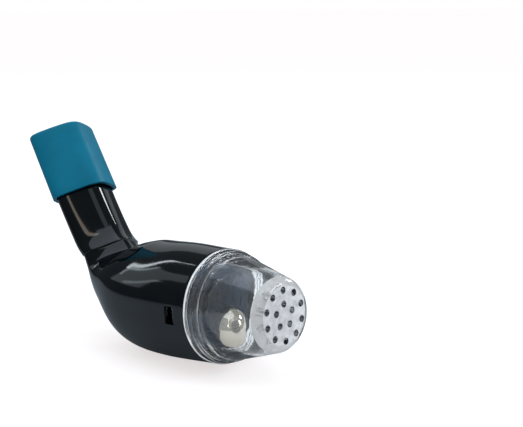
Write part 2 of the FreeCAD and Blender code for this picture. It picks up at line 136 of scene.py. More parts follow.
@dataclass(frozen=True)
class HeadAxis:
    """The common axis of bowl, funnel, ball and cover, measured ahead of the rim."""

    rim_x: float = 32.2
    rim_z: float = 26.1
    tilt: float = 4.0

    def forward(self) -> Vector:
        """Direction towards the cover."""
        return Vector((math.cos(math.radians(self.tilt)), 0.0, math.sin(math.radians(self.tilt))))

    def up(self) -> Vector:
        """Direction across the axis, upwards."""
        return Vector((-math.sin(math.radians(self.tilt)), 0.0, math.cos(math.radians(self.tilt))))

    def point(self, ahead: float, side: float = 0.0, rise: float = 0.0) -> Vector:
        """A place on the head.

        Args:
            ahead: Distance ahead of the rim.
            side: Distance along Y.
            rise: Distance from the axis, upwards.

        Returns:
            The place in metres.
        """
        rim = Vector((self.rim_x, 0.0, self.rim_z))
        return (rim + self.forward() * ahead + Vector((0.0, side, 0.0)) + self.up() * rise) * MM

    def ring(self, ahead: float, radius: float) -> Section:
        """A round section of that radius, that far ahead of the rim."""
        place = self.point(ahead) / MM
        return Section(place.x, place.z, 90.0 - self.tilt, 2 * radius, 2 * radius)

    def matrix(self) -> Matrix:
        """A frame in the middle of the rim, its X along the axis and its Z upwards."""
        return axes_at(self.point(0.0), self.forward(), Vector((0.0, 1.0, 0.0)), self.up())


@dataclass(frozen=True)
class StemAxis:
    """The axis of stem and cap, measured above the weld seam."""

    seam_x: float = -43.8
    seam_z: float = 37.5
    lean: float = 32.8

    def ring(
        self, height: float, width: float, depth: float,
        shift: float = 0.0, ridge: float = 1.0, down: bool = False,
    ) -> Section:
        """An oval section across the stem.

        Args:
            height: Distance above the seam.
            width: Outside across Y.
            depth: Outside in the plane of symmetry.
            shift: Distance from the axis towards the inner side of the elbow.
            ridge: 1 for a ridged oval, 0 for a plain ellipse.
            down: True if the moulding grows down towards the bowl.

        Returns:
            The section.
        """
        lean = math.radians(self.lean)
        x = self.seam_x - height * math.sin(lean) + shift * math.cos(lean)
        z = self.seam_z + height * math.cos(lean) + shift * math.sin(lean)
        return Section(x, z, 180.0 - self.lean if down else -self.lean, width, depth, ridge)


HEAD = HeadAxis()
STEM = StemAxis()


def deselect() -> None:
    """Leave object mode with nothing selected."""
    if bpy.context.object and bpy.context.object.mode != "OBJECT":
        bpy.ops.object.mode_set(mode="OBJECT")
    bpy.ops.object.select_all(action="DESELECT")


def make_active(piece: Object) -> None:
    """Select one object alone.

    Args:
        piece: The object.
    """
    deselect()
    piece.select_set(True)
    bpy.context.view_layer.objects.active = piece


def apply_modifier(piece: Object, kind: str, **settings: object) -> None:
    """Add a modifier and apply it.

    Args:
        piece: The object.
        kind: Type of modifier.
        **settings: Its properties.
    """
    make_active(piece)
    modifier = piece.modifiers.new(kind.title(), kind)
    for name, value in settings.items():
        setattr(modifier, name, value)
    bpy.ops.object.modifier_apply(modifier=modifier.name)


def hollow(piece: Object, wall: float) -> None:
    """Give a skin its wall, on the inner side."""
    apply_modifier(piece, "SOLIDIFY", thickness=wall * MM, offset=-1.0, use_even_offset=True)


def combine(piece: Object, other: Object, how: Boolean = Boolean.CUT_AWAY) -> None:
    """Cut another piece away or join it on, and remove the other.

    Args:
        piece: The object that stays.
        other: The object that goes.
        how: What happens to the other.
    """
    apply_modifier(piece, "BOOLEAN", object=other, operation=how.value, solver="EXACT")
    bpy.data.objects.remove(other)


class Moulding:
    """A skin drawn ring by ring: the first is added, and the rest are extruded, moved, turned and stretched.

    Attributes:
        piece: The object.
        last: Section of the selected ring.
        ridge: How ridged the selected ring is.
    """

    def __init__(self, name: str, first: Section, sides: int = OVAL_SIDES) -> None:
        """Add the first ring.

        Args:
            name: Name of the piece.
            first: The first section.
            sides: Number of sides of the skin, a multiple of four.
        """
        deselect()
        self.last = first
        self.ridge = first.ridge
        bpy.ops.mesh.primitive_circle_add(
            vertices=4 if first.ridge else sides, radius=first.depth / 2 * MM, fill_type="NOTHING",
            location=first.centre(), rotation=(0.0, math.radians(first.turn), 0.0),
        )
        self.piece = bpy.context.object
        self.piece.name = name
        bpy.ops.object.transform_apply(location=True, rotation=True, scale=True)
        bpy.ops.object.mode_set(mode="EDIT")
        bpy.ops.mesh.select_mode(type="VERT")
        bpy.ops.mesh.select_all(action="SELECT")
        if first.ridge:
            bpy.ops.mesh.subdivide(number_cuts=sides // 4 - 1)
            bpy.ops.mesh.select_all(action="SELECT")
            bpy.ops.mesh.vertices_smooth(factor=0.5, repeat=RIDGE_SMOOTHING)
        self._stretch(first)

    def _spread(self) -> tuple[float, float]:
        """Measure the selected ring.

        Returns:
            Its width across Y and its depth in the plane of symmetry, in metres.
        """
        chosen = [v.co for v in bmesh.from_edit_mesh(self.piece.data).verts if v.select]
        middle = self.last.centre()
        turn = math.radians(self.last.turn)
        inward = Vector((math.cos(turn), 0.0, -math.sin(turn)))
        width = max(v.y for v in chosen) - min(v.y for v in chosen)
        reach = [(v - middle).dot(inward) for v in chosen]
        return width, max(reach) - min(reach)

    def _stretch(self, section: Section) -> None:
        """Stretch the selected ring to a section's width and depth.

        Args:
            section: The section.
        """
        width, depth = self._spread()
        deep = section.depth * MM / depth
        wide = section.width * MM / width
        bpy.ops.transform.resize(value=(deep, wide, deep), center_override=section.centre())

    def grow(self, section: Section) -> None:
        """Extrude the selected ring to the next section.

        Args:
            section: The next section.
        """
        bpy.ops.mesh.extrude_edges_move(
            TRANSFORM_OT_translate={"value": tuple(section.centre() - self.last.centre())}
        )
        turn = math.radians(section.turn - self.last.turn)
        self.last = section
        if abs(turn) > PARALLEL:
            bpy.ops.transform.rotate(value=-turn, orient_axis="Y", center_override=section.centre())
        if self.ridge > section.ridge:
            # Where the ridge fades, the oval is made as deep as wide and drawn towards a circle.
            wide, deep = self._spread()
            bpy.ops.transform.resize(
                value=(wide / deep, 1.0, wide / deep), center_override=section.centre()
            )
            bpy.ops.transform.tosphere(value=1.0 - section.ridge / self.ridge)
            self.ridge = section.ridge
        self._stretch(section)

    def grow_all(self, sections: list[Section]) -> None:
        """Extrude through several sections."""
        for section in sections:
            self.grow(section)

    def close_loop(self) -> None:
        """Join the last ring to the first, for a skin that turns back on itself."""
        bpy.ops.mesh.select_all(action="DESELECT")
        bpy.ops.mesh.select_non_manifold()
        bpy.ops.mesh.bridge_edge_loops()

    def close_pole(self) -> None:
        """Draw the last ring together to a point."""
        bpy.ops.mesh.extrude_edges_move(TRANSFORM_OT_translate={"value": (0.0, 0.0, 0.0)})
        bpy.ops.mesh.merge(type="CENTER")

    def done(self) -> Object:
        """Merge what lies together and turn the faces outwards.

        Returns:
            The piece, in object mode.
        """
        bpy.ops.mesh.select_all(action="SELECT")
        bpy.ops.mesh.remove_doubles(threshold=WELD)
        bpy.ops.mesh.normals_make_consistent(inside=False)
        bpy.ops.object.mode_set(mode="OBJECT")
        return self.piece


def spline_slopes(values: list[float], spans: list[float]) -> list[float]:
    """Slopes of the natural cubic spline through some values.

    Args:
        values: The values at the keys.
        spans: Distances from each key to the next.

    Returns:
        The slope at each key.
    """
    last = len(values) - 1
    rises = [(b - a) / span for a, b, span in zip(values, values[1:], spans)]
    # The slopes solve one equation per key, worked forwards here and backwards below.
    left, right = [0.5], [1.5 * rises[0]]
    for i in range(1, last + 1):
        if i < last:
            low, middle, high = spans[i], 2 * (spans[i - 1] + spans[i]), spans[i - 1]
            goal = 3 * (spans[i] * rises[i - 1] + spans[i - 1] * rises[i])
        else:
            low, middle, high, goal = 1.0, 2.0, 0.0, 3 * rises[-1]
        share = middle - low * left[-1]
        left.append(high / share)
        right.append((goal - low * right[-1]) / share)
    slopes = [right[-1]]
    for i in range(last - 1, -1, -1):
        slopes.insert(0, right[i] - left[i] * slopes[0])
    return slopes


def between(keys: list[Section], steps: tuple[int, ...]) -> list[Section]:
    """Sections on a smooth path through key sections.

    Args:
        keys: The sections that the path passes through.
        steps: Number of sections from each key to the next.

    Returns:
        The sections after the first key.
    """
    rows = [astuple(key)[:5] for key in keys]
    spans = [math.dist(rows[i][:2], rows[i + 1][:2]) for i in range(len(rows) - 1)]
    slopes = list(zip(*[spline_slopes(list(column), spans) for column in zip(*rows)]))
    made = []
    for i, count in enumerate(steps):
        for step in range(1, count + 1):
            t = step / count
            weights = (2 * t**3 - 3 * t**2 + 1, 3 * t**2 - 2 * t**3, t**3 - 2 * t**2 + t, t**3 - t**2)
            row = [
                weights[0] * a + weights[1] * b + spans[i] * (weights[2] * u + weights[3] * v)
                for a, b, u, v in zip(rows[i], rows[i + 1], slopes[i], slopes[i + 1])
            ]
            # The ridge only ever fades, and eases out where it ends.
            low, high = keys[i + 1].ridge, keys[i].ridge
            ridge = low + (high - low) * ((1 - t) ** 2 if low == 0.0 else 1 - t)
            made.append(Section(*row, ridge))
    return made


def round_off(piece: Object, radius: float, angle: float = 50.0, segments: int = 3) -> None:
    """Round the sharp edges of a piece.

    Args:
        piece: The object.
        radius: Width of the rounding.
        angle: Edges sharper than this are rounded.
        segments: Faces across the rounding.
    """
    make_active(piece)
    bpy.ops.object.mode_set(mode="EDIT")
    bpy.ops.mesh.select_mode(type="EDGE")
    bpy.ops.mesh.select_all(action="DESELECT")
    bpy.ops.mesh.edges_select_sharp(sharpness=math.radians(angle))
    bpy.ops.mesh.bevel(offset=radius * MM, segments=segments, profile=0.5, clamp_overlap=True)
    bpy.ops.object.mode_set(mode="OBJECT")


def box_on_head(name: str, ahead: tuple[float, float], side: tuple[float, float], height: float) -> Object:
    """A box on the head axis, from a cube.

    Args:
        name: Name of the object.
        ahead: Its two ends ahead of the rim.
        side: Its two sides along Y.
        height: Its height, half above the axis.

    Returns:
        The box.
    """
    deselect()
    bpy.ops.mesh.primitive_cube_add(size=1.0)
    box = bpy.context.object
    box.name = name
    size = Vector((ahead[1] - ahead[0], side[1] - side[0], height)) * MM
    middle = Vector(((ahead[0] + ahead[1]) / 2, (side[0] + side[1]) / 2, 0.0)) * MM
    box.matrix_world = HEAD.matrix() @ Matrix.Translation(middle) @ Matrix.Diagonal((*size, 1.0))
    bpy.ops.object.transform_apply(location=True, rotation=True, scale=True)
    return box


def finish_piece(piece: Object, node: str, carrier: Carrier, material: Material) -> Object:
    """Dress a piece and tie it to the frame.

    Args:
        piece: The finished mesh.
        node: The frame's node that it stands for.
        carrier: The body that it rides on.
        material: Its finish.

    Returns:
        The piece.
    """
    make_active(piece)
    bpy.ops.object.shade_smooth_by_angle(angle=math.radians(SMOOTH_ANGLE))
    piece.data.materials.clear()
    piece.data.materials.append(material)
    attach(piece, carrier.value)
    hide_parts(node)
    LOG.info("%s: %d faces", piece.name, len(piece.data.polygons))
    return piece


# Finishes


def linear(code: str) -> tuple[float, float, float, float]:
    """Turn a colour to linear values.

    Args:
        code: The sRGB hex colour.

    Returns:
        Red, green, blue and an alpha of 1.
    """
    channels = [int(code[i:i + 2], 16) / 255 for i in (0, 2, 4)]
    low = [c / 12.92 if c <= 0.04045 else ((c + 0.055) / 1.055) ** 2.4 for c in channels]
    return (*low, 1.0)


def add_node(
    tree: NodeTree,
    kind: str,
    inputs: dict[str | int, object] | None = None,
    stops: dict[float, str] | None = None,
    **settings: object,
) -> Node:
    """Add a shader node with its settings and links.

    Args:
        tree: The tree of a material or of the world.
        kind: Type of node.
        inputs: Numbers and colours for its sockets, or the nodes or sockets that feed them.
        stops: Positions and sRGB colours of a colour ramp.
        **settings: Properties of the node.

    Returns:
        The node.
    """
    made = tree.nodes.new(kind)
    for name, value in settings.items():
        setattr(made, name, value)
    for name, value in (inputs or {}).items():
        source = value.outputs[0] if isinstance(value, Node) else value
        if isinstance(source, NodeSocket):
            tree.links.new(source, made.inputs[name])
        else:
            made.inputs[name].default_value = source
    if stops:
        for element, (position, code) in zip(made.color_ramp.elements, stops.items()):
            element.position = position
            element.color = linear(code)
    return made


@dataclass(frozen=True)
class Pattern:
    """Noise on the object's own coordinates.

    Attributes:
        size: Size of its grains in millimetres.
        detail: Number of finer layers.
        finer: How much finer it is along each axis.
        depth: Depth of its relief in millimetres.
        strength: Share of the relief that shows.
    """

    size: float
    detail: float
    finer: tuple[float, float, float] = (1.0, 1.0, 1.0)
    depth: float = 0.0
    strength: float = 0.0


@dataclass(frozen=True)
class Finish:
    """A finish that makes one material.

    Attributes:
        name: Name of the material.
        deep: Its sRGB colour.
        roughness: The lowest and the highest.
        patterns: Its patterns, from the broadest to the finest.
        light: The colour that it drifts to with the first pattern, if it isn't even.
        stops: Values of the first pattern at which the two colours lie.
        rough_by: The pattern that the roughness follows.
        ior: Refractive index.
        metallic: 1 for a metal.
        gloss: Specular level, where 0.5 is the full gloss of the refractive index.
        clear: Share of light that passes through.
        clear_change: How far that share drifts up and down with the first pattern.
    """

    name: str
    deep: str
    roughness: tuple[float, float]
    patterns: tuple[Pattern, ...]
    light: str = ""
    stops: tuple[float, float] = (0.3, 0.75)
    rough_by: int = -1
    ior: float = 1.5
    metallic: float = 0.0
    gloss: float = 0.5
    clear: float = 0.0
    clear_change: float = 0.0

    def material(self) -> Material:
        """Make the material.

        Returns:
            The material.
        """
        made = bpy.data.materials.new(self.name)
        made.use_nodes = True
        tree = made.node_tree
        tree.nodes.clear()
        place = add_node(tree, "ShaderNodeTexCoord").outputs["Object"]
        noises = []
        bumped = {}
        for pattern in self.patterns:
            scaled = add_node(tree, "ShaderNodeMapping", {"Vector": place, "Scale": pattern.finer})
            noises.append(add_node(tree, "ShaderNodeTexNoise", {
                "Vector": scaled, "Scale": 1 / (pattern.size * MM), "Detail": pattern.detail,
            }))
            if pattern.depth:
                bumped = {"Normal": add_node(tree, "ShaderNodeBump", {
                    "Height": noises[-1], "Distance": pattern.depth * MM, "Strength": pattern.strength,
                    **bumped,
                })}
        rough = add_node(tree, "ShaderNodeMapRange", {
            "Value": noises[self.rough_by], "To Min": self.roughness[0], "To Max": self.roughness[1],
        })
        colour = linear(self.deep)
        if self.light:
            stops = dict(zip(self.stops, (self.deep, self.light)))
            colour = add_node(tree, "ShaderNodeValToRGB", {"Fac": noises[0]}, stops)
        clear = self.clear
        if self.clear_change:
            clear = add_node(tree, "ShaderNodeMapRange", {
                "Value": noises[0], "To Min": clear - self.clear_change, "To Max": clear + self.clear_change,
            })
        shader = add_node(tree, "ShaderNodeBsdfPrincipled", {
            "Base Color": colour, "Metallic": self.metallic, "Roughness": rough, "IOR": self.ior,
            "Specular IOR Level": self.gloss, "Transmission Weight": clear, **bumped,
        })
        add_node(tree, "ShaderNodeOutputMaterial", {"Surface": shader})
        return made


@dataclass(frozen=True)
class PolishedMouldedAbs(Finish):
    """Black ABS from a polished mould: deep gloss with faint sink waves and wiping marks.

    The marks are four times longer along X and only show in the gloss.
    """

    name: str = "abs_black_polished_mould"
    deep: str = "05080A"
    light: str = "090D10"
    roughness: tuple[float, float] = (0.042, 0.09)
    patterns: tuple[Pattern, ...] = (
        Pattern(14.0, 1.0, depth=0.05, strength=0.05),
        Pattern(0.9, 3.0, (0.25, 1.0, 1.0), 0.002, 0.15),
    )
    ior: float = 1.54


@dataclass(frozen=True)
class SatinPolypropylene(Finish):
    """Teal polypropylene from a fine-sparked mould: an even satin with a soft sheen.

    The real spark texture is about 0.05 mm; it is drawn coarser so that it shows.
    """

    name: str = "polypropylene_teal_satin_mould"
    deep: str = "006C88"
    light: str = "007895"
    roughness: tuple[float, float] = (0.35, 0.45)
    patterns: tuple[Pattern, ...] = (Pattern(11.0, 2.0), Pattern(0.35, 2.0, depth=0.01, strength=0.25))
    stops: tuple[float, float] = (0.3, 0.7)
    ior: float = 1.49
    gloss: float = 0.13


@dataclass(frozen=True)
class MouldedSeatPlastic(Finish):
    """Navy polypropylene of the funnel, moulded: semi-gloss with faint flow lines.

    The lines are three times finer along X, so that they run round the funnel.
    """

    name: str = "polypropylene_navy_moulded"
    deep: str = "133757"
    light: str = "19456A"
    roughness: tuple[float, float] = (0.22, 0.36)
    patterns: tuple[Pattern, ...] = (Pattern(5.0, 3.0, (3.0, 1.0, 1.0), 0.01, 0.15),)
    ior: float = 1.49


@dataclass(frozen=True)
class ClearStyrene(Finish):
    """Clear styrene-acrylonitrile, moulded: water-clear walls with moulding waves.

    A trace of haze keeps the walls from looking black where they reflect nothing.
    """

    name: str = "styrene_acrylonitrile_clear_moulded"
    deep: str = "F4F8FA"
    roughness: tuple[float, float] = (0.006, 0.027)
    patterns: tuple[Pattern, ...] = (Pattern(6.0, 2.0, depth=0.2, strength=0.7),)
    ior: float = 1.57
    clear: float = 0.97


@dataclass(frozen=True)
class PaintedShadeVentBore(ClearStyrene):
    """The bores of the vents: the same plastic, duller, and grey as painted shade for the dark reflections
    inside them.
    """

    name: str = "styrene_acrylonitrile_vent_bore_painted_shade"
    # Painted shade: this grey stands in for the dark reflections inside the vents.
    deep: str = "4E565C"
    roughness: tuple[float, float] = (0.048, 0.216)
    clear: float = 0.90


@dataclass(frozen=True)
class FrostedEnd(ClearStyrene):
    """The inner face of the perforated end: the same plastic, frosted by the mould's core."""

    name: str = "styrene_acrylonitrile_frosted_end"
    deep: str = "FFFFFF"
    roughness: tuple[float, float] = (0.088, 0.396)
    clear: float = 0.12


@dataclass(frozen=True)
class HazyEnd(ClearStyrene):
    """The outer face of the perforated end: the same plastic, milky in patches round the vents."""

    name: str = "styrene_acrylonitrile_hazy_end"
    deep: str = "FFFFFF"
    roughness: tuple[float, float] = (0.02, 0.09)
    patterns: tuple[Pattern, ...] = (Pattern(2.5, 2.0, depth=0.2, strength=0.7),)
    clear: float = 0.40
    clear_change: float = 0.35


@dataclass(frozen=True)
class GroundSteel(Finish):
    """Chrome steel ball, ground and polished: a mirror with a few smears and hairline scratches.

    The roughness follows the smears. The scratches are eight times longer along X than wide. Real ones are
    under 0.05 mm wide; they are drawn coarser so that they show.
    """

    name: str = "chrome_steel_ground_ball"
    deep: str = "CFC6B6"
    roughness: tuple[float, float] = (0.042, 0.126)
    patterns: tuple[Pattern, ...] = (Pattern(5.0, 4.0), Pattern(0.35, 2.0, (0.12, 1.0, 1.0), 0.003, 0.15))
    rough_by: int = 0
    metallic: float = 1.0


# Pieces


@dataclass
class Bowl:
    """The egg-shaped housing that narrows into the neck under the stem.

    The brow, belly and waist are round sections, each as its distance behind the rim and its radius.
    """

    wall: float = 2.0
    rim_radius: float = 23.4
    brow: tuple[float, float] = (8.0, 23.75)
    belly: tuple[float, float] = (22.0, 24.31)
    waist: tuple[float, float] = (35.0, 24.2)
    lower_heel: Section = Section(-17.0, 24.9, 102.0, 45.6, 44.6)
    upper_heel: Section = Section(-27.5, 29.5, 118.0, 39.0, 33.4)
    neck_width: float = 29.5
    neck_depth: float = 21.9
    neck_shift: float = 2.2
    neck_length: float = 5.0
    neck_swell: float = 1.2
    neck_ridge: float = 0.75
    elbow_fill: float = 1.0
    steps: tuple[int, ...] = (5, 10, 10, 12, 12, 12, 6)
    mouth_bore_radius: float = 21.4
    ledge: tuple[float, float] = (-5.0, -7.0)
    ledge_radius: float = 19.6
    window: tuple[float, float] = (-10.5, -5.7)
    window_height: float = 7.3
    channel: tuple[float, float] = (-9.5, 2.0)
    channel_half: float = 22.4
    channel_height: float = 6.7
    edge: float = 0.3

    def keys(self) -> list[Section]:
        """Find the key sections.

        Returns:
            The sections, from the neck to the rim.
        """
        seam = STEM.ring(0.0, self.neck_width, self.neck_depth, self.neck_shift, 1.0, True)
        elbow = STEM.ring(
            -self.neck_length,
            self.neck_width + self.neck_swell,
            self.neck_depth + self.neck_swell + self.elbow_fill,
            self.neck_shift + self.elbow_fill / 2,
            self.neck_ridge,
            True,
        )
        rounds = [HEAD.ring(-back, radius) for back, radius in (self.waist, self.belly, self.brow)]
        return [seam, elbow, self.upper_heel, self.lower_heel, *rounds, HEAD.ring(0.0, self.rim_radius)]

    def build(self, material: Material) -> Object:
        """Model the bowl and dress it.

        Args:
            material: Its finish.

        Returns:
            The bowl.
        """
        keys = self.keys()
        skin = Moulding("bowl_housing", keys[0], ROUND_SIDES)
        skin.grow_all(between(keys, self.steps))
        bowl = skin.done()
        hollow(bowl, self.wall)
        self._cut_foot(bowl)
        combine(bowl, self._ledge(), Boolean.JOIN_ON)
        through = (-2 * self.rim_radius, 2 * self.rim_radius)
        combine(bowl, box_on_head("windows", self.window, through, self.window_height))
        inside = (-self.channel_half, self.channel_half)
        combine(bowl, box_on_head("channels", self.channel, inside, self.channel_height))
        round_off(bowl, self.edge)
        return finish_piece(bowl, "bowl", Carrier.HOUSING, material)

    def _cut_foot(self, bowl: Object) -> None:
        """Flatten the underside where the bowl rests.

        Args:
            bowl: The bowl.
        """
        side = 4 * self.rim_radius * MM
        deselect()
        bpy.ops.mesh.primitive_cube_add(size=side, location=(0.0, 0.0, -side / 2))
        combine(bowl, bpy.context.object)

    def _ledge(self) -> Object:
        """Model the ring inside the mouth that carries the funnel.

        Returns:
            The ring.
        """
        front, back = self.ledge
        reach = self.mouth_bore_radius + self.wall / 2
        ring = Moulding("ledge", HEAD.ring(front, self.ledge_radius), ROUND_SIDES)
        ring.grow_all([HEAD.ring(front, reach), HEAD.ring(back, reach), HEAD.ring(back, self.ledge_radius)])
        ring.close_loop()
        return ring.done()


@dataclass
class Stem:
    """The oval mouth tube, ridged front and back, flared where it is welded to the neck.

    The mouth, shaft and foot are given as width and depth.
    """

    length: float = 58.3
    mouth: tuple[float, float] = (30.8, 20.4)
    shaft: tuple[float, float] = (30.0, 19.2)
    foot: tuple[float, float] = (30.2, 22.6)
    foot_shift: float = 2.2
    flare_height: float = 9.0
    steps: tuple[int, ...] = (6, 6, 16)
    wall: float = 1.7
    edge: float = 0.5

    def build(self, material: Material) -> Object:
        """Model the stem and dress it.

        Args:
            material: Its finish.

        Returns:
            The stem.
        """
        # Halfway up the flare, three quarters of its extra depth and of its shift are gone.
        flare_width = (self.foot[0] + self.shaft[0]) / 2
        flare_depth = (self.foot[1] + 3 * self.shaft[1]) / 4
        keys = [
            STEM.ring(0.0, *self.foot, self.foot_shift),
            STEM.ring(self.flare_height / 2, flare_width, flare_depth, self.foot_shift / 4),
            STEM.ring(self.flare_height, *self.shaft),
            STEM.ring(self.length, *self.mouth),
        ]
        skin = Moulding("stem_tube", keys[0])
        skin.grow_all(between(keys, self.steps))
        stem = skin.done()
        hollow(stem, self.wall)
        round_off(stem, self.edge)
        return finish_piece(stem, "stem", Carrier.HOUSING, material)


@dataclass
class Cap:
    """The push-on cap: a ridged oval cup with a rounded end."""

    lip: float = 29.0
    roof: float = 60.8
    mouth: tuple[float, float] = (30.8, 20.4)
    gap: float = 0.098
    wall: float = 1.5
    taper: float = 0.6
    crown: float = 1.6
    side_rings: int = 8
    crown_step: int = 15
    roof_shares: tuple[float, ...] = (0.75, 0.5, 0.25, 0.05)
    edge: float = 0.3

    def _oval(self, height: float, wider: float = 0.0) -> Section:
        """The outside of the cap at a height above the seam, made wider than its roof by an amount."""
        grow = 2 * (self.gap + self.wall)
        return STEM.ring(height, self.mouth[0] + grow + wider, self.mouth[1] + grow + wider)

    def build(self, material: Material) -> Object:
        """Model the cap and dress it.

        Args:
            material: Its finish.

        Returns:
            The cap.
        """
        shoulder = self.roof - self.crown
        skin = Moulding("mouthpiece_cap_cup", self._oval(self.lip, self.taper))
        for ring in range(1, self.side_rings + 1):
            share = ring / self.side_rings
            skin.grow(self._oval(self.lip + (shoulder - self.lip) * share, self.taper * (1 - share)))
        for degrees in range(self.crown_step, 91, self.crown_step):
            turn = math.radians(degrees)
            rise = self.crown * math.sin(turn)
            skin.grow(self._oval(shoulder + rise, -2 * self.crown * (1 - math.cos(turn))))
        full = self._oval(self.roof)
        for share in self.roof_shares:
            skin.grow(STEM.ring(self.roof, full.width * share, full.depth * share))
        skin.close_pole()
        cap = skin.done()
        hollow(cap, self.wall)
        round_off(cap, self.edge)
        return finish_piece(cap, "mouthpiece_cap", Carrier.CAP, material)


@dataclass
class FunnelSeat:
    """The funnel that the ball closes, with its flange and the two notches for the latch tongues."""

    flange_front: float = -3.5
    flange_back: float = -5.0
    flange_radius: float = 21.25
    mouth_radius: float = 18.1
    throat_radius: float = 6.5
    half_angle: float = 30.0
    wall: float = 1.3
    outlet: float = 2.5
    notch_inner: float = 19.95
    notch_outer: float = 22.25
    notch_height: float = 6.7
    notch_margin: float = 0.2
    edge: float = 0.25

    def build(self, material: Material) -> Object:
        """Model the funnel seat and dress it.

        Args:
            material: Its finish.

        Returns:
            The funnel seat.
        """
        run = math.tan(math.radians(self.half_angle))
        throat = self.flange_front - (self.mouth_radius - self.throat_radius) / run
        back_wall = self.mouth_radius + self.wall - (self.flange_front - self.flange_back) * run
        profile = [
            (self.flange_front, self.mouth_radius),
            (self.flange_front, self.flange_radius),
            (self.flange_back, self.flange_radius),
            (self.flange_back, back_wall),
            (throat, self.throat_radius + self.wall),
            (throat - self.outlet, self.throat_radius + self.wall),
            (throat - self.outlet, self.throat_radius),
            (throat, self.throat_radius),
        ]
        rings = [HEAD.ring(ahead, radius) for ahead, radius in profile]
        skin = Moulding("funnel_seat", rings[0], ROUND_SIDES)
        skin.grow_all(rings[1:])
        skin.close_loop()
        seat = skin.done()
        ahead = (self.flange_back - self.notch_margin, self.flange_front + self.notch_margin)
        for side in (-1, 1):
            near, far = sorted((side * self.notch_inner, side * self.notch_outer))
            combine(seat, box_on_head("notch", ahead, (near, far), self.notch_height))
        round_off(seat, self.edge, segments=2)
        return finish_piece(seat, "cone_seat", Carrier.SEAT, material)


@dataclass
class Ball:
    """The steel ball, drawn round from a cube so that its faces are even."""

    radius: float = 9.5
    cuts: int = 31

    def build(self, material: Material) -> Object:
        """Model the ball where the frame has it and dress it.

        Args:
            material: Its finish.

        Returns:
            The ball.
        """
        low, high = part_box("ball")
        middle = (low + high) / 2
        deselect()
        bpy.ops.mesh.primitive_cube_add(size=self.radius * MM, location=middle)
        ball = bpy.context.object
        ball.name = "steel_ball"
        bpy.ops.object.transform_apply(location=True, rotation=True, scale=True)
        bpy.ops.object.mode_set(mode="EDIT")
        bpy.ops.mesh.select_all(action="SELECT")
        bpy.ops.mesh.subdivide(number_cuts=self.cuts)
        bpy.ops.mesh.select_all(action="SELECT")
        bpy.ops.transform.tosphere(value=1.0)
        reach = max((v.co - middle).length for v in bmesh.from_edit_mesh(ball.data).verts)
        size = self.radius * MM / reach
        bpy.ops.transform.resize(value=(size, size, size), center_override=middle)
        bpy.ops.object.mode_set(mode="OBJECT")
        return finish_piece(ball, "ball", Carrier.BALL, material)


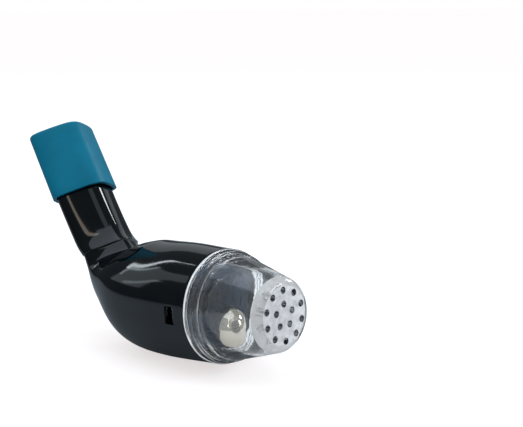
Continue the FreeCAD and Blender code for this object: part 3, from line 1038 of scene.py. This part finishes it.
@dataclass
class DomeCover:
    """The clear cover: stepped collar, tapering dome, perforated end and two latch tongues.

    Each step of the collar is given as its radius and its length, each ring of vents as their number and
    the ring's radius, and the hook as its front ahead of the rim and its length.
    """

    rim_radius: float = 23.4
    bore_radius: float = 21.25
    skirt_wall: float = 1.15
    skirt_back: float = -3.4
    collar: float = 1.6
    step_one: tuple[float, float] = (22.6, 2.4)
    step_two: tuple[float, float] = (21.9, 2.4)
    base_radius: float = 21.3
    end_radius: float = 14.2
    height: float = 32.5
    wall: float = 1.9
    end_thickness: float = 4.5
    shoulder: float = 4.0
    shoulder_rings: int = 8
    axle_radius: float = 0.4
    outer_vents: tuple[int, float] = (10, 10.0)
    inner_vents: tuple[int, float] = (5, 4.6)
    vent_radius: float = 1.4
    vent_sides: int = 32
    tongue_width: float = 6.4
    tongue_back: float = -9.0
    hook: tuple[float, float] = (-5.85, 1.3)
    hook_height: float = 1.0
    hook_width: float = 6.3
    hook_root: float = 0.05
    frosted_rim: float = 0.6
    edge: float = 0.18
    # A face this near lies on a flat of the end, or on the back of the collar.
    end_margin: float = 0.05
    collar_margin: float = 0.3
    # The part of a normal along the axis tells where a face looks.
    looks_back: float = -0.7
    looks_forward: float = 0.9
    looks_sideways: float = 0.3
    vent_margin: float = 1.05

    def profiles(self) -> tuple[list[tuple[float, float]], list[tuple[float, float]]]:
        """List the rings of the outside and of the lining, from the back of the skirt to the axle.

        Returns:
            Both lists, each ring as its distance ahead of the rim and its radius.
        """
        skirt = self.bore_radius - self.skirt_wall
        foot = self.collar + self.step_one[1] + self.step_two[1]
        slope = (self.base_radius - self.end_radius) / (self.height - foot)
        # The shoulder's arc touches the cone and the flat end.
        sweep = math.pi / 2 - math.atan(slope)
        middle = self.end_radius - self.shoulder * math.tan(sweep / 2)
        arc = []
        for ring in range(self.shoulder_rings + 1):
            turn = sweep * (1 - ring / self.shoulder_rings)
            ahead = self.height - self.shoulder + self.shoulder * math.cos(turn)
            arc.append((ahead, middle + self.shoulder * math.sin(turn)))
        end_inside = self.height - self.end_thickness
        outside = [
            (self.skirt_back, skirt),
            (self.skirt_back, self.bore_radius),
            (0.0, self.bore_radius),
            (0.0, self.rim_radius - self.frosted_rim),
            (0.0, self.rim_radius),
            (self.collar, self.rim_radius),
            (self.collar, self.step_one[0]),
            (self.collar + self.step_one[1], self.step_one[0]),
            (self.collar + self.step_one[1], self.step_two[0]),
            (foot, self.step_two[0]),
            (foot, self.base_radius),
            *arc,
            (self.height, middle / 2),
            (self.height, self.axle_radius),
        ]
        lining = [
            (self.skirt_back, skirt),
            (0.0, skirt),
            (foot, self.base_radius - self.wall),
            (end_inside, self.end_radius - self.wall + self.end_thickness * slope),
            (end_inside, middle / 2),
            (end_inside, self.axle_radius),
        ]
        return outside, lining

    def build(self, material: Material, others: dict[CoverFace, Material]) -> Object:
        """Model the cover and dress it.

        Args:
            material: Finish of the walls.
            others: Finishes of the faces that differ.

        Returns:
            The cover.
        """
        skins = []
        for name, profile in zip(("clear_dome_cover", "clear_dome_inside"), self.profiles()):
            skin = Moulding(name, HEAD.ring(*profile[0]), ROUND_SIDES)
            skin.grow_all([HEAD.ring(*row) for row in profile[1:]])
            skin.close_pole()
            skins.append(skin.done())
        cover, lining = skins
        self._join(cover, lining)
        round_off(cover, self.edge, angle=40.0, segments=2)
        for side in (-1, 1):
            combine(cover, self._tongue(side), Boolean.JOIN_ON)
        combine(cover, self._vents())
        finish_piece(cover, "dome_cover", Carrier.COVER, material)
        self._dress_end(cover, others)
        return cover

    def _dress_end(self, cover: Object, others: dict[CoverFace, Material]) -> None:
        """Dress the vents, both faces of the end and the back of the collar.

        Args:
            cover: The cover.
            others: Their finishes.
        """
        for kind in CoverFace:
            cover.data.materials.append(others[kind])
        end_inside = self.height - self.end_thickness
        collar_inside = self.rim_radius - self.frosted_rim
        centres = [Vector(place) for place in self.vent_places()]
        to_head = HEAD.matrix().inverted()
        for face in cover.data.polygons:
            place = to_head @ face.center / MM
            facing = (to_head.to_3x3() @ face.normal).x
            across = Vector((place.y, place.z))
            on_end = abs(place.x - end_inside) < self.end_margin
            on_collar = abs(place.x) < self.collar_margin and across.length > collar_inside
            if facing < self.looks_back and (on_end or on_collar):
                face.material_index = CoverFace.FROSTED.value
            elif facing > self.looks_forward and place.x > self.height - self.end_margin:
                face.material_index = CoverFace.HAZY.value
            elif place.x > end_inside and abs(facing) < self.looks_sideways:
                nearest = min((across - centre).length for centre in centres)
                if nearest < self.vent_radius * self.vent_margin:
                    # These faces get the vent finish, whose grey is painted shade for the dark reflections
                    # inside the vents.
                    face.material_index = CoverFace.VENT.value

    def _join(self, cover: Object, lining: Object) -> None:
        """Join the lining to the outside along their common ring.

        Args:
            cover: The outside, which stays.
            lining: The lining, which goes.
        """
        make_active(cover)
        lining.select_set(True)
        bpy.ops.object.join()
        bpy.ops.object.mode_set(mode="EDIT")
        bpy.ops.mesh.select_all(action="SELECT")
        bpy.ops.mesh.remove_doubles(threshold=WELD)
        bpy.ops.mesh.normals_make_consistent(inside=False)
        bpy.ops.object.mode_set(mode="OBJECT")

    def _tongue(self, side: int) -> Object:
        """Model one latch tongue with its hook.

        Args:
            side: 1 or -1, the side of the head.

        Returns:
            The tongue.
        """
        near, far = sorted((side * (self.bore_radius - self.skirt_wall), side * self.bore_radius))
        ahead = (self.tongue_back, self.skirt_back / 2)
        tongue = box_on_head("tongue", ahead, (near, far), self.tongue_width)
        root = side * (self.bore_radius - self.hook_root)
        near, far = sorted((root, side * (self.bore_radius + self.hook_height)))
        ahead = (self.hook[0] - self.hook[1], self.hook[0])
        combine(tongue, box_on_head("hook", ahead, (near, far), self.hook_width), Boolean.JOIN_ON)
        return tongue

    def vent_places(self) -> list[tuple[float, float]]:
        """Find the vents.

        Returns:
            Each vent's distance along Y and from the axis upwards.
        """
        return [
            (ring * math.sin(2 * math.pi * step / count), ring * math.cos(2 * math.pi * step / count))
            for count, ring in (self.outer_vents, self.inner_vents)
            for step in range(count)
        ]

    def _vents(self) -> Object:
        """Model every vent as a pin.

        Returns:
            The pins as one object.
        """
        pins = []
        for place in self.vent_places():
            deselect()
            bpy.ops.mesh.primitive_cylinder_add(
                vertices=self.vent_sides, radius=self.vent_radius * MM, depth=2 * self.end_thickness * MM,
                location=HEAD.point(self.height - self.end_thickness / 2, *place),
                rotation=(0.0, math.radians(90.0 - HEAD.tilt), 0.0),
            )
            pins.append(bpy.context.object)
        make_active(pins[0])
        for pin in pins:
            pin.select_set(True)
        bpy.ops.object.join()
        bpy.ops.object.transform_apply(location=True, rotation=True, scale=True)
        return pins[0]


# Studio


def camera_or_through(tree: NodeTree, reflected: float) -> tuple[Node, Node]:
    """Tell what the camera sees, straight or through clear plastic, from all that is lit or mirrored.

    Args:
        tree: The tree of the world or the floor.
        reflected: Share for what a reflection shows through clear plastic.

    Returns:
        The light path node, and a node that is 1 for what the camera sees.
    """
    path = add_node(tree, "ShaderNodeLightPath")
    straight = add_node(
        tree, "ShaderNodeMath", {0: path.outputs["Glossy Depth"], 1: 0.5}, operation="LESS_THAN"
    )
    # What a reflection shows through clear plastic is dimmer than what shows straight through it.
    level = add_node(
        tree, "ShaderNodeMath", {0: straight, 1: 1.0 - reflected, 2: reflected}, operation="MULTIPLY_ADD"
    )
    through = add_node(
        tree, "ShaderNodeMath", {0: path.outputs["Is Transmission Ray"], 1: level}, operation="MULTIPLY"
    )
    seen = add_node(
        tree, "ShaderNodeMath", {0: path.outputs["Is Camera Ray"], 1: through}, operation="MAXIMUM"
    )
    return path, seen


def direction(azimuth: float, elevation: float) -> Vector:
    """A direction from the device, its azimuth from +X towards +Y, both in degrees."""
    turn, rise = math.radians(azimuth), math.radians(elevation)
    return Vector((math.cos(rise) * math.cos(turn), math.cos(rise) * math.sin(turn), math.sin(rise)))


@dataclass(frozen=True)
class SoftBox:
    """A rectangular lamp that faces the device.

    Attributes:
        name: Name of the lamp.
        start: Azimuth and elevation of one end.
        end: Azimuth and elevation of the other end.
        width: Its width in degrees as the device sees it.
        level: Its brightness, where 1 is white.
        colour: Its sRGB colour.
        distance: Its distance in metres.
        aim: The middle of the device, which it is measured from.
    """

    name: str
    start: tuple[float, float]
    end: tuple[float, float]
    width: float
    level: float
    colour: str = "FFFFFF"
    distance: float = 1.2
    aim: tuple[float, float, float] = (-10.0, 0.0, 40.0)

    def hang(self) -> None:
        """Add the lamp to the scene."""
        ends = [direction(*corner) * self.distance for corner in (self.start, self.end)]
        middle = (ends[0] + ends[1]) / 2
        along = (ends[1] - ends[0]).normalized()
        away = middle.normalized()
        data = bpy.data.lights.new(self.name, "AREA")
        data.shape = "RECTANGLE"
        data.size = (ends[1] - ends[0]).length
        data.size_y = 2 * self.distance * math.tan(math.radians(self.width) / 2)
        # A lamp of so many watts for its area, over pi, looks as bright as a surface of that level.
        data.energy = self.level * math.pi * data.size * data.size_y
        data.color = linear(self.colour)[:3]
        lamp = bpy.data.objects.new(self.name, data)
        lamp.matrix_world = axes_at(middle + Vector(self.aim) * MM, along, away.cross(along), away)
        bpy.context.scene.collection.objects.link(lamp)


@dataclass
class Studio:
    """Floor, lamps, white surroundings and the camera."""

    # The light of the surroundings on the device.
    ambient: float = 0.72
    ambient_colour: str = "F6F6F8"
    # What its gloss reflects low down and overhead. It rises between the two heights, where 1 is overhead.
    gloss_levels: tuple[float, float] = (0.09, 0.15)
    gloss_heights: tuple[float, float] = (-0.1, 0.9)
    gloss_colour: str = "D6E6F2"
    # Share of the white surroundings and of the seen floor in a reflection through clear plastic.
    gloss_share: float = 0.45
    floor_share: float = 0.95
    # The floor as it lights the device, as the camera sees it, and the share of its own light in the latter.
    floor_colour: str = "A0ABB4"
    floor_seen: str = "ECF2F3"
    floor_glow: float = 0.42
    glow_colour: str = "FFF9F9"
    glow_level: float = 1.61
    # The floor's side and its gap under the device, in metres.
    floor_size: float = 40.0
    floor_gap: float = 0.0002
    boxes: tuple[SoftBox, ...] = (
        SoftBox("overhead_box", (180.0, 62.0), (0.0, 62.0), 46.0, 1.1, "E2ECF8"),
        SoftBox("rear_pane", (-151.0, 12.0), (-155.0, 38.0), 15.0, 0.62, "E0EEF5"),
        SoftBox("rear_bar_high", (-158.0, 20.0), (-164.0, 38.0), 2.0, 1.8, "E0EEF5", 1.1),
        SoftBox("rear_bar_low", (-149.0, 14.0), (-144.0, 27.0), 2.5, 1.2, "E0EEF5", 1.1),
        SoftBox("rear_edge", (-162.0, 28.0), (-181.0, 43.0), 2.0, 6.5, "E8F2F8"),
        SoftBox("sweep_top", (176.0, 18.0), (100.0, 18.0), 20.0, 0.42, "EEF6FA"),
        SoftBox("key_box", (-13.0, 50.0), (16.0, 50.0), 24.0, 0.62, "E4EEF6", 1.0),
        SoftBox("side_strip", (-50.0, 22.0), (-50.0, 62.0), 3.0, 2.5, "FFEFDC"),
        SoftBox("back_lamp", (76.0, 24.0), (88.0, 24.0), 12.0, 11.0),
        SoftBox("front_box", (22.0, 20.0), (46.0, 20.0), 14.0, 6.5, "F4F8FF"),
    )
    focal: float = 75.72
    sensor: float = 36.0
    # Nearest and farthest distance that is drawn, in metres.
    clip: tuple[float, float] = (0.01, 50.0)
    camera_place: tuple[float, float, float] = (344.21, -296.57, 146.02)
    camera_right: tuple[float, float, float] = (0.71454, 0.69953, -0.0099)
    camera_down: tuple[float, float, float] = (0.12388, -0.14044, -0.98231)
    camera_forward: tuple[float, float, float] = (-0.68854, 0.70067, -0.187)

    def build(self) -> None:
        """Set the scene round the device."""
        self._camera()
        self._world()
        self._floor()
        for box in self.boxes:
            box.hang()
        bpy.context.scene.view_settings.view_transform = "Standard"

    def _camera(self) -> None:
        """Place the camera at the photograph's view."""
        data = bpy.data.cameras.new("Camera")
        data.lens = self.focal
        data.sensor_width = self.sensor
        data.clip_start, data.clip_end = self.clip
        camera = bpy.data.objects.new("Camera", data)
        right, down, forward = (Vector(v) for v in (self.camera_right, self.camera_down, self.camera_forward))
        camera.matrix_world = axes_at(Vector(self.camera_place) * MM, right, -down, -forward)
        bpy.context.scene.collection.objects.link(camera)
        bpy.context.scene.camera = camera

    def _world(self) -> None:
        """Make the surroundings white behind the device and through its cover, and dim in its gloss."""
        world = bpy.data.worlds.new("studio_white")
        world.use_nodes = True
        tree = world.node_tree
        tree.nodes.clear()
        path, seen = camera_or_through(tree, self.gloss_share)
        place = add_node(tree, "ShaderNodeTexCoord")
        axes = add_node(tree, "ShaderNodeSeparateXYZ", {"Vector": place.outputs["Generated"]})
        level = add_node(tree, "ShaderNodeMapRange", {
            "Value": axes.outputs["Z"],
            "From Min": self.gloss_heights[0], "From Max": self.gloss_heights[1],
            "To Min": self.gloss_levels[0], "To Max": self.gloss_levels[1],
        })
        dim = add_node(tree, "ShaderNodeBackground", {
            "Color": linear(self.gloss_colour), "Strength": level,
        })
        ambient = add_node(tree, "ShaderNodeBackground", {
            "Color": linear(self.ambient_colour), "Strength": self.ambient,
        })
        white = add_node(tree, "ShaderNodeBackground", {"Color": linear("FFFFFF"), "Strength": 1.0})
        unseen = add_node(tree, "ShaderNodeMixShader", {0: path.outputs["Is Glossy Ray"], 1: ambient, 2: dim})
        mixed = add_node(tree, "ShaderNodeMixShader", {0: seen, 1: unseen, 2: white})
        add_node(tree, "ShaderNodeOutputWorld", {"Surface": mixed})
        bpy.context.scene.world = world

    def _floor(self) -> None:
        """Add a pale floor that fades into the white and keeps a soft shadow."""
        deselect()
        bpy.ops.mesh.primitive_plane_add(size=self.floor_size, location=(0.0, 0.0, -self.floor_gap))
        floor = bpy.context.object
        floor.name = "studio_floor"
        material = bpy.data.materials.new("pale_studio_floor")
        material.use_nodes = True
        tree = material.node_tree
        tree.nodes.clear()
        _, seen = camera_or_through(tree, self.floor_share)
        share = add_node(tree, "ShaderNodeMath", {0: seen, 1: self.floor_glow}, operation="MULTIPLY")
        paper = add_node(tree, "ShaderNodeBsdfDiffuse", {"Color": linear(self.floor_colour)})
        seen_paper = add_node(tree, "ShaderNodeBsdfDiffuse", {"Color": linear(self.floor_seen)})
        glow = add_node(tree, "ShaderNodeEmission", {
            "Color": linear(self.glow_colour), "Strength": self.glow_level,
        })
        surface = add_node(tree, "ShaderNodeMixShader", {0: seen, 1: paper, 2: seen_paper})
        mixed = add_node(tree, "ShaderNodeMixShader", {0: share, 1: surface, 2: glow})
        add_node(tree, "ShaderNodeOutputMaterial", {"Surface": mixed})
        floor.data.materials.append(material)


def main() -> None:
    """Build the studio and every piece in order."""
    logging.basicConfig(level=logging.INFO, format="%(name)s: %(message)s")
    Studio().build()
    black = PolishedMouldedAbs().material()
    Bowl().build(black)
    Stem().build(black)
    Cap().build(SatinPolypropylene().material())
    FunnelSeat().build(MouldedSeatPlastic().material())
    Ball().build(GroundSteel().material())
    DomeCover().build(ClearStyrene().material(), {
        CoverFace.VENT: PaintedShadeVentBore().material(),
        CoverFace.FROSTED: FrostedEnd().material(),
        CoverFace.HAZY: HazyEnd().material(),
    })


if __name__ == "__main__":
    main()
